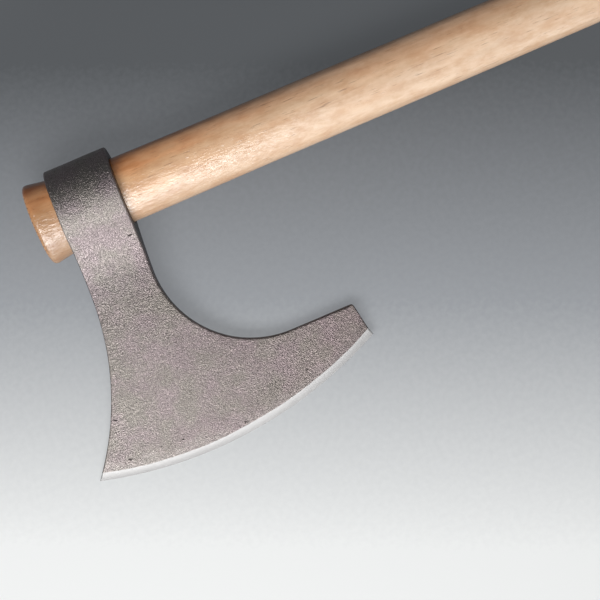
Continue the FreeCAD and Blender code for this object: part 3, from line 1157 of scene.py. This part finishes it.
def pale_floor(target, up):
    """A wide floor with painted light: paler towards the bottom of the view, as a fall of light would leave
    it, and glowing a little, which lightens the shadows on it.

    Away from the head it evens out to plain grey.
    """
    mesh = bpy.data.meshes.new("floor")
    turn = full_turn(FLOOR_SEGMENTS)
    rim = FLOOR_RADIUS * np.column_stack([np.cos(turn), np.sin(turn), np.zeros(FLOOR_SEGMENTS)])
    mesh.from_pydata(rim.tolist(), [], [list(range(FLOOR_SEGMENTS))])
    material, tree, shader, _ = new_material("floor")
    here = tree.nodes.new("ShaderNodeTexCoord").outputs["Object"]
    offset = add_node(tree, "VectorMath", {0: here, 1: target}, operation="SUBTRACT").outputs[0]
    tint = painted_falloff_tint(tree, here, offset, up)
    paper = tinted(tree, tint, opaque([FLOOR_REFLECTANCE] * 3))
    # painted light: the floor's graded tone and its glow
    feed(tree, shader, {"Base Color": paper, "Emission Color": tint, "Emission Strength": FLOOR_GLOW})
    feed(tree, shader, {"Roughness": FLOOR_ROUGHNESS, "Specular IOR Level": FLOOR_SPECULAR})
    mesh.materials.append(material)
    return bpy.data.objects.new("floor", mesh)


def painted_falloff_tint(tree, here, offset, up):
    """The floor's colour, from its offset to the middle of the view: a painted falloff of light, paler
    towards the bottom of the view.
    """
    down = add_node(tree, "VectorMath", {0: offset, 1: -up}, operation="DOT_PRODUCT").outputs["Value"]
    speckled = math_node(tree, "ADD", down, waver(tree, here, FLOOR_SPECKLES, SPECKLE_DEPTH))
    share = spread(tree, speckled, -FLOOR_FADE, FLOOR_FADE)
    tint = ramp(tree, share, [(0.0, FLOOR_FAR), (0.5, FLOOR_MIDDLE), (1.0, FLOOR_NEAR)])
    reach = add_node(tree, "VectorMath", {0: offset}, operation="LENGTH").outputs["Value"]
    beyond = add_node(tree, "MapRange", {"Value": reach, **FLOOR_EVEN_OUT}, interpolation_type="SMOOTHSTEP")
    return mix_colours(tree, beyond.outputs[0], tint, opaque(FLOOR_AROUND))


def aim(thing, target, right, up, lean_down, lean_left, distance):
    """Places a camera or lamp at a distance from target, leant down and to the left of the view's axis."""
    back = right.cross(up)
    level = back * math.cos(lean_down) - up * math.sin(lean_down)
    away = level * math.cos(lean_left) - right * math.sin(lean_left)
    across = right * math.cos(lean_left) + level * math.sin(lean_left)
    rotation = Matrix((across, away.cross(across), away)).transposed().to_4x4()
    thing.matrix_world = Matrix.Translation(target + away * distance) @ rotation


def softbox(name, settings, target, right, up):
    """A rectangular lamp of an even radiance, which shows only in reflections."""
    width, height, lean_down, lean_left, distance, radiance = settings
    lamp = bpy.data.lights.new(name, "AREA")
    lamp.shape = "RECTANGLE"
    lamp.size = width
    lamp.size_y = height
    lamp.energy = radiance * math.pi * width * height
    lamp.color = LIGHT_COLOUR
    thing = bpy.data.objects.new(name, lamp)
    thing.visible_camera = False
    bpy.context.scene.collection.objects.link(thing)
    aim(thing, target, right, up, lean_down, lean_left, distance)


def stage_scene():
    """The floor, lamps, dim surroundings and camera."""
    scene = bpy.context.scene
    turn = AXE.to_3x3()
    right = turn @ Vector((-math.cos(HAFT_ANGLE), math.sin(HAFT_ANGLE), 0))
    up = turn @ Vector((-math.sin(HAFT_ANGLE), -math.cos(HAFT_ANGLE), 0))
    target = AXE @ Vector(VIEW_CENTRE)

    floor = pale_floor(target, up)
    scene.collection.objects.link(floor)

    towards_butt = target + turn @ Vector(BUTT_FILL_SHIFT)
    for name, settings, centre in (
        ("key_softbox", KEY_SOFTBOX, target),
        ("front_fill", FRONT_FILL, target),
        ("butt_fill", BUTT_FILL, towards_butt),
        ("floor_wash", FLOOR_WASH, target),
        ("rim_light", RIM_LIGHT, target),
    ):
        softbox(name, settings, centre, right, up)

    world = bpy.data.worlds.new("surroundings")
    world.use_nodes = True
    background = world.node_tree.nodes["Background"]
    feed(world.node_tree, background, {"Color": opaque(WORLD_COLOUR), "Strength": WORLD_STRENGTH})
    scene.world = world

    data = bpy.data.cameras.new("camera")
    data.lens = data.sensor_width * CAMERA_DISTANCE / VIEW_WIDTH
    camera = bpy.data.objects.new("camera", data)
    scene.collection.objects.link(camera)
    aim(camera, target, right, up, 0.0, 0.0, CAMERA_DISTANCE)
    scene.camera = camera
    scene.view_settings.view_transform = "Standard"


# -------- the whole scene


def main():
    """Makes both pieces in place of their CAD nodes, then the stage."""
    for piece, body, node, slot in (
        (forged_head(), "head", "axe_head", "forged_steel"),
        (hickory_haft(), "haft", "haft", "hickory"),
    ):
        bpy.context.scene.collection.objects.link(piece)
        piece.data.transform(AXE)
        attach(piece, body)
        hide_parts(node)
    stage_scene()


main()
